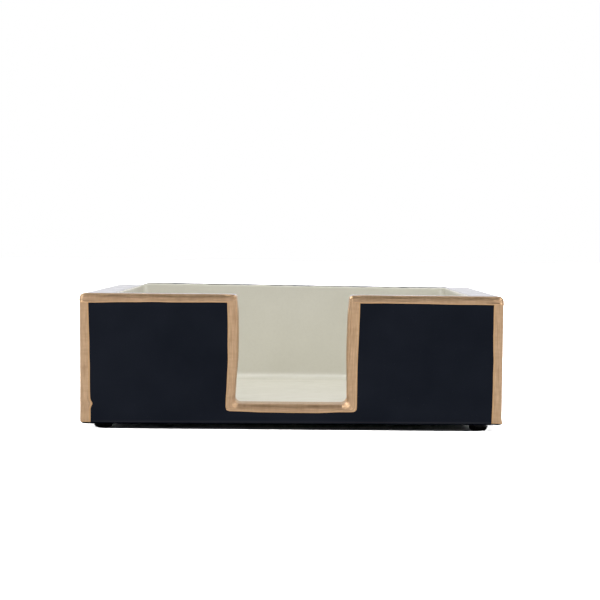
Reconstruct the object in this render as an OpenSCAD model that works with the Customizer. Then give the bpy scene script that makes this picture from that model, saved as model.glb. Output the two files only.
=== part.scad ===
// Open-topped napkin holder: a square tray of four mitred boards on a base board,
// lacquered dark outside and cream inside, with gilded edges, a finger notch
// through the front wall and four rubber bumper feet.
// Units are millimetres. +Z is up and the front faces -Y. The origin is on the
// table top, under the middle of the tray.

/* [Box] */
// Outside width, left to right
box_w = 160; // [140:1:210]
// Outside depth, front to back
box_d = 160; // [140:1:210]
// Height of the walls
wall_h = 48.4; // [40:0.2:70]
// Thickness of the walls
wall_t = 12; // [10:0.5:15]
// Thickness of the base board
base_t = 6.5; // [5:0.5:6.5]
// Radius rubbed onto the edges of the boards
edge_r = 1.4; // [0.6:0.1:2]

/* [Finger notch] */
// Width of the notch cut through the front wall
notch_w = 42.1; // [36:0.1:60]
// Sideways offset of the notch from the middle of the front
notch_offset = 0.5; // [-2:0.1:2]
// Height of the sill above the bottom of the wall
sill_h = 7.1; // [7:0.1:12]
// Radius in the lower corners of the notch
notch_r = 2.4; // [1.5:0.1:5]
// Radius at the top of the notch, where its sides meet the rim
lip_r = 1.2; // [0.6:0.1:2]

/* [Inside corners] */
// Radius of the filler run into the inside corners
cove_r = 3.5; // [2:0.1:5]

/* [Gilding] */
// Width of the gold bands, measured from the edges that they follow
band_w = 3.4; // [2.5:0.1:6]
// Thickness of the gold size and paint
band_t = 0.2; // [0.1:0.05:0.4]
// Bare strip left between the gold and the bottom of the wall
band_gap = 0.6; // [0.4:0.1:2]

/* [Brads] */
// Length of a brad
brad_l = 20; // [16:1:24]
// Diameter of a brad's shank
brad_d = 1.2; // [1:0.1:1.6]
// Depth that a brad is punched below the face
brad_sink = 1.5; // [1:0.1:2]

/* [Feet] */
// Diameter of a bumper foot where it is stuck on
foot_d = 8; // [6:0.5:10]
// Diameter of the flat that a foot stands on
foot_flat_d = 5.2; // [3:0.1:5.6]
// Height of the rubber
foot_h = 2.5; // [1.5:0.1:2.8]
// Thickness of the adhesive disc above a foot
glue_t = 0.3; // [0.2:0.1:0.5]
// Distance of a foot's centre from the two outside faces beside it
foot_inset = 8.5; // [7:0.5:12]

/* [Hidden] */
$fn = 64;

dark_lacquer = [0.05, 0.055, 0.07];
cream_lacquer = [0.80, 0.79, 0.72];
gold_paint = [0.74, 0.60, 0.45];
bright_steel = [0.65, 0.66, 0.68];
black_rubber = [0.03, 0.03, 0.035];
glue_white = [0.85, 0.86, 0.84];

wall_z = foot_h + glue_t;
floor_z = wall_z + base_t;
well_w = box_w - 2 * wall_t;
well_d = box_d - 2 * wall_t;
cove_land = 0.05;
brad_r = brad_d / 2;
brad_head_r = 1;
brad_head_h = 0.6;
brad_levels = [0.22, 0.5, 0.78] * wall_h;
foot_r = foot_d / 2;
foot_flat_r = foot_flat_d / 2;
// Centre height and radius of the sphere that rounds a foot's side
foot_dome_z = (pow(foot_r, 2) - pow(foot_flat_r, 2) + pow(foot_h, 2)) / (2 * foot_h);
foot_dome_r = sqrt(pow(foot_flat_r, 2) + pow(foot_dome_z, 2));
// How far the adhesive disc stays inside the edge of its foot
glue_margin = 0.1;
// Smallest radius left in the corners of the notch when its outline grows
least_r = 0.3;
// Small overlap that makes cuts run clear through a face
past = 1;

// ---------- Places ----------

// Turns what is built for the front to another side of the box.
module on_front() children();
module on_right() rotate([0, 0, 90]) children();
module on_rear() rotate([0, 0, 180]) children();
module on_left() rotate([0, 0, -90]) children();

// Mirrors what is built for the rear right corner into another corner.
module in_corner(side, end) {
    mirror([side < 0 ? 1 : 0, 0, 0])
        mirror([0, end < 0 ? 1 : 0, 0])
            children();
}

// Stands a drawing made in X and Z upright, with its thickness running back from y.
module upright(y, thickness) {
    translate([0, y + thickness, 0])
        rotate([90, 0, 0])
            linear_extrude(thickness)
                children();
}

// ---------- Boards ----------

// Section of a wall: x from its outside face inwards, y up from its bottom edge.
module wall_section() {
    translate([0, edge_r]) square([wall_t, wall_h - 2 * edge_r]);
    translate([edge_r, 0]) square([wall_t - edge_r, 2 * edge_r]);
    translate([edge_r, wall_h - 2 * edge_r]) square([wall_t - 2 * edge_r, 2 * edge_r]);
    translate([edge_r, edge_r]) circle(edge_r);
    translate([edge_r, wall_h - edge_r]) circle(edge_r);
    translate([wall_t - edge_r, wall_h - edge_r]) circle(edge_r);
}

module rounded_plan(w, d, r) {
    square([w - 2 * r, d], center = true);
    square([w, d - 2 * r], center = true);
    for (x = [-1, 1], y = [-1, 1])
        translate([x * (w / 2 - r), y * (d / 2 - r)]) circle(r);
}

// Plan of a wall on the front side, mitred at both ends.
module mitred_plan(run, reach) {
    intersection() {
        polygon([
            [-run / 2, -reach],
            [run / 2, -reach],
            [run / 2 - wall_t, wall_t - reach],
            [wall_t - run / 2, wall_t - reach]
        ]);
        rounded_plan(run, 2 * reach, edge_r);
    }
}

// A wall for the front side: run is its length and reach the distance of its
// outside face from the middle of the box.
module wall(run, reach) {
    translate([0, 0, wall_z])
        intersection() {
            translate([-run / 2, -reach, 0])
                rotate([90, 0, 90])
                    linear_extrude(run)
                        wall_section();
            linear_extrude(wall_h) mitred_plan(run, reach);
        }
}

// Outline of the notch in X and Z, grown by a margin; its top runs past the rim.
module notch_outline(margin) {
    half = notch_w / 2 + margin;
    low = wall_z + sill_h - margin;
    top = wall_z + wall_h;
    r = max(notch_r - margin, least_r);
    translate([notch_offset, 0]) {
        translate([-half, low + r]) square([2 * half, top - low - r + past]);
        translate([r - half, low]) square([2 * (half - r), 2 * r]);
        for (x = [-1, 1]) translate([x * (half - r), low + r]) circle(r);
    }
}

// What the rounded lips take off the rim on each side of the notch.
module notch_lips() {
    top = wall_z + wall_h;
    translate([notch_offset, 0])
        for (x = [-1, 1])
            translate([x * (notch_w / 2 + lip_r), top - lip_r])
                difference() {
                    translate([x > 0 ? -lip_r - past : 0, 0]) square([lip_r + past, lip_r + past]);
                    circle(lip_r);
                }
}

// ---------- Brads ----------

// One brad, head at the origin, driven towards -Y.
module brad() {
    rotate([90, 0, 0]) {
        cylinder(h = brad_head_h, r = brad_head_r);
        cylinder(h = brad_l, r = brad_r);
    }
}

// Three brads through the mitre of the rear right corner, driven from behind.
module mitre_brads() {
    for (level = brad_levels)
        translate([box_w / 2 - wall_t / 2, box_d / 2 - brad_sink, wall_z + level]) brad();
}

// Two brads through a front wall into the edge of the base board.
module edge_brads(run, reach) {
    for (x = [-1, 1] * run / 4)
        translate([x, brad_sink - reach, wall_z + base_t / 2]) rotate([0, 0, 180]) brad();
}

module all_mitre_brads() {
    for (side = [-1, 1], end = [-1, 1]) in_corner(side, end) mitre_brads();
}

module all_edge_brads() {
    on_front() edge_brads(box_w, box_d / 2);
    on_rear() edge_brads(box_w, box_d / 2);
    on_left() edge_brads(box_d, box_w / 2);
    on_right() edge_brads(box_d, box_w / 2);
}

module drilled_wall(run, reach) {
    difference() {
        wall(run, reach);
        edge_brads(run, reach);
    }
}

// ---------- Filler coves ----------

// Section of the filler in an inside corner, with its corner at the origin.
module cove_section() {
    difference() {
        square(cove_r);
        translate([cove_r, cove_r]) circle(cove_r - cove_land);
    }
}

// Filler along the foot of a front wall, mitred at both ends.
module floor_cove(run, reach) {
    inner_reach = reach - wall_t;
    inner_run = run - 2 * wall_t;
    intersection() {
        translate([-inner_run / 2, -inner_reach, floor_z])
            rotate([90, 0, 90])
                linear_extrude(inner_run)
                    cove_section();
        translate([0, 0, floor_z])
            linear_extrude(cove_r)
                polygon([
                    [-inner_run / 2, -inner_reach],
                    [inner_run / 2, -inner_reach],
                    [inner_run / 2 - cove_r, cove_r - inner_reach],
                    [cove_r - inner_run / 2, cove_r - inner_reach]
                ]);
    }
}

// Filler up the rear right inside corner, standing on the two floor coves there.
module corner_cove() {
    difference() {
        translate([well_w / 2, well_d / 2, floor_z])
            rotate([0, 0, 180])
                linear_extrude(wall_h - base_t - edge_r)
                    cove_section();
        translate([0, well_d / 2, floor_z])
            rotate([90, 0, 90])
                linear_extrude(box_w)
                    mirror([1, 0, 0])
                        cove_section();
        translate([well_w / 2, box_d, floor_z])
            rotate([90, 0, 0])
                linear_extrude(box_d)
                    mirror([1, 0, 0])
                        cove_section();
    }
}

// ---------- Gilding ----------

// Gold on a plain front face: one band under the rim and one up each corner.
module band_outline(run) {
    low = wall_z + edge_r + band_gap;
    rim = wall_z + wall_h;
    half = run / 2 - edge_r;
    clear = run / 2 - band_w;
    difference() {
        translate([-half, low]) square([2 * half, rim - edge_r - low]);
        translate([-clear, low - past]) square([2 * clear, rim - band_w - low + past]);
    }
}

module plain_band(run, reach) {
    upright(-reach - band_t, band_t) band_outline(run);
}

// Gold on the front: the plain bands, a band round the notch and the notch's own faces.
module notched_band() {
    top = wall_z + wall_h - edge_r;
    upright(-box_d / 2 - band_t, band_t)
        difference() {
            union() {
                band_outline(box_w);
                intersection() {
                    notch_outline(band_w);
                    translate([-box_w / 2, 0]) square([box_w, top]);
                }
            }
            notch_outline(-band_t);
        }
    upright(-box_d / 2, wall_t)
        intersection() {
            difference() {
                notch_outline(0);
                notch_outline(-band_t);
            }
            translate([-box_w / 2, 0]) square([box_w, top]);
        }
}

// ---------- Feet ----------

module foot() {
    translate([box_w / 2 - foot_inset, box_d / 2 - foot_inset, 0])
        rotate_extrude()
            intersection() {
                translate([0, foot_dome_z]) circle(foot_dome_r);
                square([foot_r, foot_h]);
            }
}

module foot_adhesive() {
    translate([box_w / 2 - foot_inset, box_d / 2 - foot_inset, foot_h])
        cylinder(h = glue_t, r = foot_r - glue_margin);
}

// ---------- Named pieces ----------

module front_panel() color(dark_lacquer) difference() {
    drilled_wall(box_w, box_d / 2);
    all_mitre_brads();
    upright(-box_d / 2 - past, wall_t + 2 * past) {
        notch_outline(0);
        notch_lips();
    }
}

module rear_panel() color(dark_lacquer) difference() {
    on_rear() drilled_wall(box_w, box_d / 2);
    all_mitre_brads();
}

module left_panel() color(dark_lacquer) difference() {
    on_left() drilled_wall(box_d, box_w / 2);
    all_mitre_brads();
}

module right_panel() color(dark_lacquer) difference() {
    on_right() drilled_wall(box_d, box_w / 2);
    all_mitre_brads();
}

module base_panel() color(cream_lacquer) difference() {
    translate([-well_w / 2, -well_d / 2, wall_z]) cube([well_w, well_d, base_t]);
    all_edge_brads();
}

module corner_cove_front_left() color(cream_lacquer) in_corner(-1, -1) corner_cove();
module corner_cove_front_right() color(cream_lacquer) in_corner(1, -1) corner_cove();
module corner_cove_rear_left() color(cream_lacquer) in_corner(-1, 1) corner_cove();
module corner_cove_rear_right() color(cream_lacquer) in_corner(1, 1) corner_cove();

module floor_cove_front() color(cream_lacquer) difference() {
    floor_cove(box_w, box_d / 2);
    upright(-box_d / 2, box_d / 2) notch_outline(0);
}

module floor_cove_rear() color(cream_lacquer) on_rear() floor_cove(box_w, box_d / 2);
module floor_cove_left() color(cream_lacquer) on_left() floor_cove(box_d, box_w / 2);
module floor_cove_right() color(cream_lacquer) on_right() floor_cove(box_d, box_w / 2);

module gold_band_front() color(gold_paint) notched_band();
module gold_band_rear() color(gold_paint) on_rear() plain_band(box_w, box_d / 2);
module gold_band_left() color(gold_paint) on_left() plain_band(box_d, box_w / 2);
module gold_band_right() color(gold_paint) on_right() plain_band(box_d, box_w / 2);

module corner_brads_front_left() color(bright_steel) in_corner(-1, -1) mitre_brads();
module corner_brads_front_right() color(bright_steel) in_corner(1, -1) mitre_brads();
module corner_brads_rear_left() color(bright_steel) in_corner(-1, 1) mitre_brads();
module corner_brads_rear_right() color(bright_steel) in_corner(1, 1) mitre_brads();

module base_brads_front() color(bright_steel) on_front() edge_brads(box_w, box_d / 2);
module base_brads_rear() color(bright_steel) on_rear() edge_brads(box_w, box_d / 2);
module base_brads_left() color(bright_steel) on_left() edge_brads(box_d, box_w / 2);
module base_brads_right() color(bright_steel) on_right() edge_brads(box_d, box_w / 2);

module foot_front_left() color(black_rubber) in_corner(-1, -1) foot();
module foot_front_right() color(black_rubber) in_corner(1, -1) foot();
module foot_rear_left() color(black_rubber) in_corner(-1, 1) foot();
module foot_rear_right() color(black_rubber) in_corner(1, 1) foot();

module foot_adhesive_front_left() color(glue_white) in_corner(-1, -1) foot_adhesive();
module foot_adhesive_front_right() color(glue_white) in_corner(1, -1) foot_adhesive();
module foot_adhesive_rear_left() color(glue_white) in_corner(-1, 1) foot_adhesive();
module foot_adhesive_rear_right() color(glue_white) in_corner(1, 1) foot_adhesive();

front_panel();
rear_panel();
left_panel();
right_panel();
base_panel();
corner_cove_front_left();
corner_cove_front_right();
corner_cove_rear_left();
corner_cove_rear_right();
floor_cove_front();
floor_cove_rear();
floor_cove_left();
floor_cove_right();
gold_band_front();
gold_band_rear();
gold_band_left();
gold_band_right();
corner_brads_front_left();
corner_brads_front_right();
corner_brads_rear_left();
corner_brads_rear_right();
base_brads_front();
base_brads_rear();
base_brads_left();
base_brads_right();
foot_front_left();
foot_front_right();
foot_rear_left();
foot_rear_right();
foot_adhesive_front_left();
foot_adhesive_front_right();
foot_adhesive_rear_left();
foot_adhesive_rear_right();
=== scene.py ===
"""Looks of the napkin holder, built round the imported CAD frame.

The front faces -Y, +Z is up and every length is in metres. The four walls, the
coves, the floor, the gilding and the feet are modelled here around the frame's
own boxes; the brads inside the boards stay as the CAD solids.
"""

import math

import bmesh
import bpy
import numpy as np
from mathutils import Matrix, Vector, geometry, noise


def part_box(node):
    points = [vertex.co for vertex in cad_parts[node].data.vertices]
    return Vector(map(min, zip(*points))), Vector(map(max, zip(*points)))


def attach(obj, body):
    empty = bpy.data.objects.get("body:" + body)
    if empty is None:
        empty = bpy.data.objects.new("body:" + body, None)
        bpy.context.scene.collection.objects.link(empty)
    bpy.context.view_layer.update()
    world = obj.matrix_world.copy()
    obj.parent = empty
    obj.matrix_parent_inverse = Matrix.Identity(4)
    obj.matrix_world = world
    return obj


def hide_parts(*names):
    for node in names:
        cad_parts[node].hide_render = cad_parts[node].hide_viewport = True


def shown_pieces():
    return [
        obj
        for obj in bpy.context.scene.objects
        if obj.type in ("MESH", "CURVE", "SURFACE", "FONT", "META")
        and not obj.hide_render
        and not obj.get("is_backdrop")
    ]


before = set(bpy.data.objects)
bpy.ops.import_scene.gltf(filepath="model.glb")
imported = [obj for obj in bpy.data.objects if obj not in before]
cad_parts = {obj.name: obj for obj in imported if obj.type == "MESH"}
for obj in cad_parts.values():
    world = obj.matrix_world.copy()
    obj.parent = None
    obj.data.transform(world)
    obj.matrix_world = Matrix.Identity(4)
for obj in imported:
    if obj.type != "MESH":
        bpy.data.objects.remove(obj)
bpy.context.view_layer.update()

MM = 0.001
TINY = 1e-9

# ---------- Sizes, from the frame ----------

LOW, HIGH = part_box("front_panel")
THICK = HIGH.y - LOW.y
BOTTOM, RIM = LOW.z, HIGH.z
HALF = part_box("right_panel")[1].x
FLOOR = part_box("base_panel")[1].z
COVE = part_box("floor_cove_rear")[1].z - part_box("floor_cove_rear")[0].z
WELL = HALF - THICK
CORNERS = {
    "front_left": (-1, -1),
    "front_right": (1, -1),
    "rear_left": (-1, 1),
    "rear_right": (1, 1),
}
# Turn about Z, in degrees, from the front to each side
SIDES = {"front": 0, "right": 90, "rear": 180, "left": 270}

# ---------- Sizes of the finish ----------

EDGE_R = 1.8 * MM  # top edges and the sill's, outside
NOTCH_EDGE_R = 0.8 * MM  # the notch's upright edges, outside
LIP_INNER_R = 1.0 * MM  # top and notch edges, inside
FOOT_EDGE_R = 1.3 * MM  # bottom outside edge of the walls
CORNER_R = 1.4 * MM  # upright outside corners
SQUARE_R = 0.05 * MM  # corners that look square
BURIED_R = 0.3 * MM  # corners within the boards

NOTCH_HALF = 21.05 * MM
NOTCH_SHIFT = 0.5 * MM
SILL = BOTTOM + 7.1 * MM
NOTCH_R = 2.4 * MM
LIP_R = 1.2 * MM
NOTCH_ZONE = 27 * MM  # half width of the part of the front that is built round the notch

WOBBLE = 0.05 * MM  # how far hand rubbing takes the faces out of true
WOBBLE_SCALE = 24 * MM
REAR_HIGH = 0.9 * MM  # how much the rear wall's left end stands above the other walls
JOINT_DIP = 0.25 * MM  # hollow over the rear left joint, and the small pit at its inner end
JOINT_PIT = 0.6 * MM
LEFT_LEAN = 0.45 * MM  # how far the left and the right wall lean in at their feet
RIGHT_LEAN = 0.35 * MM
SAG = 0.9 * MM  # bead of lacquer that ran down along the front's lower edge
DRIP = 0.4 * MM  # drop of lacquer at the front right corner's foot, and its radius
DRIP_R = 1.1 * MM

PAINT_T = 0.13 * MM  # thickness of the gold where it is even
PAINT_SINK = 0.05 * MM  # how far the gold's back sits inside the board
PAINT_STEP = 0.42 * MM  # between a stroke's columns
PAINT_ROWS = 27  # points across a stroke
CORNER_BEAD = 0.5 * MM  # paint gathered in the notch's lower corners
SIDE_BOW = 0.3 * MM  # how much thicker the paint is half way up the notch's sides
CROSSING_RIDGE = 0.2 * MM  # paint pushed up where a top stroke crosses an upright one
TOP_COAT = 1.3  # the strokes over the rim lie on top of the others and are thicker
WAVE_SEED = Vector((3.7, 1.9, 8.3))
noise.seed_set(1)  # noise_vector would take its offsets from the clock otherwise


# ---------- Small helpers ----------


def smooth_step(edge0, edge1, x):
    t = np.clip((x - edge0) / (edge1 - edge0), 0.0, 1.0)
    return t * t * (3 - 2 * t)


def quarter(steps, first=1):
    """Angles of a quarter turn in equal steps, from step number first."""
    return [math.pi / 2 * i / steps for i in range(first, steps + 1)]


def noise_grid(a, b, seed):
    """Smooth noise at the points (a, b), given as arrays of one shape."""
    flat = [noise.noise(Vector((x, y, seed))) for x, y in zip(a.ravel(), b.ravel())]
    return np.array(flat).reshape(a.shape)


def out_of_true(points):
    """Moves points by a slow wave, the same everywhere for every piece, then adds what the
    maker left: a rear wall a little high, side walls that lean and a run of lacquer."""
    moved = points.reshape(-1, 3).copy()
    for i, p in enumerate(moved):
        wave = noise.noise_vector(Vector(p) / WOBBLE_SCALE + WAVE_SEED)
        moved[i] = p + np.array(wave) * WOBBLE
    x, y, z = points.reshape(-1, 3).T
    rear = smooth_step(WELL - 6 * MM, WELL - 1 * MM, y) * smooth_step(RIM - 18 * MM, RIM, z)
    across = smooth_step(-WELL - 1.5 * MM, -WELL + 3 * MM, x) * smooth_step(70 * MM, -70 * MM, x)
    moved[:, 2] += REAR_HIGH * rear * across
    joint = np.exp(-(((x + WELL + 1.5 * MM) / (3.5 * MM)) ** 2)) * rear
    pit = np.hypot(x + WELL + 0.5 * MM, y - WELL - 0.5 * MM)
    pit = np.exp(-((pit / (1.0 * MM)) ** 2)) * smooth_step(RIM - 3 * MM, RIM, z)
    moved[:, 2] -= JOINT_DIP * joint + JOINT_PIT * pit
    lean = LEFT_LEAN * smooth_step(-60 * MM, -66 * MM, x)
    lean = lean - RIGHT_LEAN * smooth_step(60 * MM, 66 * MM, x)
    moved[:, 0] += lean * np.clip((RIM - z) / (RIM - BOTTOM), 0, 1)
    run = smooth_step(4.2 * MM - HALF, 1.5 * MM - HALF, y)
    run = run * smooth_step(BOTTOM + 3.4 * MM, BOTTOM + 0.6 * MM, z)
    moved[:, 2] -= SAG * run * np.interp(x, [-HALF, HALF], [1, 0.25])
    drop = (x - HALF) ** 2 + (y + HALF - 1 * MM) ** 2 + (z - BOTTOM - 0.6 * MM) ** 2
    drop = np.exp(-drop / DRIP_R**2)
    moved += DRIP * drop[:, None] * np.array([1.0, -0.3, -0.6])
    return moved.reshape(points.shape)


def turned(points, side):
    """Points built for the front, turned about Z to another side."""
    a = math.radians(SIDES[side])
    turn = np.array([[math.cos(a), -math.sin(a), 0], [math.sin(a), math.cos(a), 0], [0, 0, 1]])
    return points @ turn.T


def placed(points, side):
    """Front-side points turned to their own side, then given the shared slow wave."""
    return out_of_true(turned(points, side))


def new_object(name, data):
    thing = bpy.data.objects.new(name, data)
    bpy.context.scene.collection.objects.link(thing)
    return thing


class Builder:
    """Collects vertices and faces, then makes one mesh object of them."""

    def __init__(self):
        self.verts = []
        self.faces = []
        self.strokes = []
        self.brushed = []

    def add_points(self, points, strokes=None, brushed=None):
        start = len(self.verts)
        stores = (self.verts, self.strokes, self.brushed)
        for store, values in zip(stores, (points, strokes, brushed)):
            values = np.zeros_like(points) if values is None else values
            store.extend(map(tuple, values.reshape(-1, 3)))
        return start

    def add_grid(self, points, strokes=None, flip=False, close_rows=False, brushed=None):
        """Quads over an array of points, rows by columns. Returns the vertex numbers."""
        rows, cols = points.shape[:2]
        index = np.arange(rows * cols).reshape(rows, cols)
        index = index + self.add_points(points, strokes, brushed)
        if close_rows:
            index = np.vstack([index, index[:1]])
        for r in range(index.shape[0] - 1):
            for c in range(cols - 1):
                quad = (index[r, c], index[r, c + 1], index[r + 1, c + 1], index[r + 1, c])
                self.faces.append(quad[::-1] if flip else quad)
        return index

    def make(self, name, material, merge=2e-7, sharp=35.0):
        mesh = bpy.data.meshes.new(name)
        mesh.from_pydata(self.verts, [], [tuple(int(i) for i in f) for f in self.faces])
        for key, values in (("stroke", self.strokes), ("brushed", self.brushed)):
            if np.any(values):
                layer = mesh.attributes.new(key, "FLOAT_VECTOR", "POINT")
                layer.data.foreach_set("vector", np.array(values, np.float32).ravel())
        work = bmesh.new()
        work.from_mesh(mesh)
        bmesh.ops.remove_doubles(work, verts=work.verts, dist=merge)
        bmesh.ops.dissolve_degenerate(work, edges=work.edges, dist=merge)
        bmesh.ops.recalc_face_normals(work, faces=work.faces)
        for face in work.faces:
            face.smooth = True
        for edge in work.edges:
            edge.smooth = edge.calc_face_angle(0.0) < math.radians(sharp)
        work.to_mesh(mesh)
        work.free()
        mesh.materials.append(material)
        return new_object(name, mesh)


def finish_piece(piece, node):
    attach(piece, "root")
    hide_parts(node)


# ---------- The walls' shape ----------


def plan_radius(depth):
    """Radius of a wall's plan at its corner, at a depth behind the outside face."""
    knots = [0, EDGE_R, THICK - LIP_INNER_R, THICK]
    radii = [CORNER_R, BURIED_R, COVE + LIP_INNER_R, COVE]
    return np.interp(depth, knots, radii)


def plan_walk(start, share, depth, radius):
    """Half a wall's plan, from x = start out to the mitre, as share goes from 0 to 1.

    The straight part takes the first part of the share and the corner's arc the rest.
    Returns x, y and the plan's outward normal, for the front side.
    """
    reach = HALF - depth
    straight = np.maximum(reach - radius - start, 0)
    turn_from = np.where(straight > 1e-6, 0.4, 0.0)
    along = np.clip(share / np.maximum(turn_from, 1e-6), 0, 1) * straight
    along = np.where(straight > 1e-6, along, 0)
    angle = np.clip((share - turn_from) / (1 - turn_from), 0, 1) * math.pi / 4
    x = np.where(angle > 0, reach - radius + radius * np.sin(angle), start + along)
    y = -(reach - radius) - radius * np.cos(angle)
    return x, y, np.sin(angle), -np.cos(angle)


def wall_profile():
    """Closed section of a wall as rows of depth, height and plan radius, from the bottom
    outside edge up over the rim and down the inside."""
    rows = []
    for a in quarter(6, 0):
        depth = FOOT_EDGE_R * (1 - math.sin(a))
        rows.append((depth, BOTTOM + FOOT_EDGE_R * (1 - math.cos(a)), plan_radius(depth)))
    rows += [(0, z, CORNER_R) for z in np.linspace(BOTTOM + FOOT_EDGE_R, RIM - EDGE_R, 26)[1:]]
    for a in quarter(10):
        depth = EDGE_R * (1 - math.cos(a))
        rows.append((depth, RIM - EDGE_R * (1 - math.sin(a)), plan_radius(depth)))
    for depth in np.linspace(EDGE_R, THICK - LIP_INNER_R, 8)[1:]:
        rows.append((depth, RIM, plan_radius(depth)))
    for a in quarter(10):
        depth = THICK - LIP_INNER_R * (1 - math.sin(a))
        rows.append((depth, RIM - LIP_INNER_R * (1 - math.cos(a)), plan_radius(depth)))
    # Below the rounded lip the board has a square corner, and the cove fills it
    rows += [(THICK, z, SQUARE_R) for z in np.linspace(RIM - LIP_INNER_R, FLOOR, 24)]
    rows += [(THICK, BOTTOM, SQUARE_R), (THICK / 2, BOTTOM, BURIED_R)]
    return rows


STRAIGHT_HALF = WELL - COVE
GRID_STEP = 2 * MM


def straight_columns(low, high):
    return np.linspace(low, high, int(round((high - low) / GRID_STEP)) + 1)


def add_wall_ends(builder, x_from, side):
    """Both ends of a wall's skin, each from x_from out to the mitre and closed there."""
    plain = straight_columns(x_from, STRAIGHT_HALF)
    shares = np.linspace(0, 1, 21)[1:]
    grid = []
    for depth, z, radius in wall_profile():
        x, y, _, _ = plan_walk(STRAIGHT_HALF, shares, depth, radius)
        xs = np.concatenate([plain, x])
        ys = np.concatenate([np.full(len(plain), depth - HALF), y])
        grid.append(np.stack([xs, ys, np.full(len(xs), z)], axis=-1))
    for way in (1, -1):
        end = placed(np.array(grid) * np.array([way, 1, 1]), side)
        index = builder.add_grid(end, flip=way < 0, close_rows=True)
        builder.faces.append(tuple(index[:-1, -1]))


def build_plain_wall(side, material):
    builder = Builder()
    add_wall_ends(builder, 0.0, side)
    finish_piece(builder.make(f"{side}_wall", material), f"{side}_panel")


# ---------- The notch ----------


# How far each side of the notch strays in x: at the top, half way down and at the sill
LEFT_STRAY = (-0.4 * MM, 0.05 * MM, -0.95 * MM)
RIGHT_STRAY = (0.5 * MM, -0.15 * MM, -0.2 * MM)


def hand_cut(x, z):
    """Sideways error of the sawn notch at a point on its outline."""
    t = (RIM - z) / (RIM - SILL)
    left, right = (
        top * (1 - t) * (1 - 2 * t) + middle * 4 * t * (1 - t) + low * t * (2 * t - 1)
        for top, middle, low in (LEFT_STRAY, RIGHT_STRAY)
    )
    place = np.clip((x - NOTCH_SHIFT + NOTCH_HALF) / (2 * NOTCH_HALF), 0, 1)
    beyond = np.clip((abs(x - NOTCH_SHIFT) - NOTCH_HALF) / (4 * MM), 0, 1)
    return (left + (right - left) * place) * (1 - beyond)


class NotchPath:
    """Outline of the rim and notch in x and z, from left to right, by length."""

    def __init__(self, reach):
        rim_run = reach - NOTCH_HALF - LIP_R
        side_run = RIM - LIP_R - SILL - NOTCH_R
        sill_run = 2 * (NOTCH_HALF - NOTCH_R)
        lip_run, corner_run = math.pi / 2 * LIP_R, math.pi / 2 * NOTCH_R
        left, right = NOTCH_SHIFT - NOTCH_HALF, NOTCH_SHIFT + NOTCH_HALF
        lip, low = RIM - LIP_R, SILL + NOTCH_R
        # Each stretch: length, then a function of the share along it
        self.parts = [
            (rim_run + NOTCH_SHIFT, self.line((-reach, RIM), (left - LIP_R, RIM), (0, 1))),
            (lip_run, self.arc((left - LIP_R, lip), LIP_R, 90, 0, 1)),
            (side_run, self.line((left, lip), (left, low), (1, 0))),
            (corner_run, self.arc((left + NOTCH_R, low), NOTCH_R, 180, 270, -1)),
            (sill_run, self.line((left + NOTCH_R, SILL), (right - NOTCH_R, SILL), (0, 1))),
            (corner_run, self.arc((right - NOTCH_R, low), NOTCH_R, 270, 360, -1)),
            (side_run, self.line((right, low), (right, lip), (-1, 0))),
            (lip_run, self.arc((right + LIP_R, lip), LIP_R, 180, 90, 1)),
            (rim_run - NOTCH_SHIFT, self.line((right + LIP_R, RIM), (reach, RIM), (0, 1))),
        ]
        self.starts = np.concatenate([[0], np.cumsum([p[0] for p in self.parts])])

    @staticmethod
    def line(start, end, normal):
        start, end = np.array(start), np.array(end)
        return lambda share: (start + (end - start) * share, np.array(normal, float))

    @staticmethod
    def arc(centre, radius, from_deg, to_deg, way):
        """way is 1 where the normal points away from the centre, -1 where it points to it."""

        def at(share):
            a = math.radians(from_deg + (to_deg - from_deg) * share)
            out = np.array([math.cos(a), math.sin(a)])
            return np.array(centre) + radius * out, way * out

        return at

    def at(self, length):
        i = int(np.clip(np.searchsorted(self.starts, length, side="right") - 1, 0, 8))
        share = (length - self.starts[i]) / self.parts[i][0]
        point, normal = self.parts[i][1](min(max(share, 0.0), 1.0))
        return point + np.array([hand_cut(*point), 0.0]), normal

    def stations(self, steps):
        """Lengths along the path, with steps[i] of them on stretch i."""
        ends = zip(self.starts, self.starts[1:], steps)
        cuts = [np.linspace(a, b, n + 1)[:-1] for a, b, n in ends]
        return np.concatenate([*cuts, [self.starts[-1]]])


def edge_radius(x, z):
    """Outside rounding along the notched edge: full on the rim and the sill, and sharper
    on the notch's upright sides, its corners and its lips."""
    off = abs(x - NOTCH_SHIFT)
    on_rim = smooth_step(NOTCH_HALF + LIP_R, NOTCH_ZONE - 0.5 * MM, off) * (z > RIM - 0.01 * MM)
    on_sill = 1 - smooth_step(0.6 * MM, 4.5 * MM, z - SILL)
    return NOTCH_EDGE_R + (EDGE_R - NOTCH_EDGE_R) * (on_rim + on_sill)


def rim_rows(radius):
    """Section over a notched edge: depth behind the face, then distance in from the outline."""
    rows = [(radius * (1 - math.cos(a)), radius * (1 - math.sin(a))) for a in quarter(10, 0)]
    rows += [(d, 0.0) for d in np.linspace(radius, THICK - LIP_INNER_R, 8)[1:]]
    for a in quarter(10):
        rows.append((THICK - LIP_INNER_R * (1 - math.sin(a)), LIP_INNER_R * (1 - math.cos(a))))
    return rows


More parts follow.
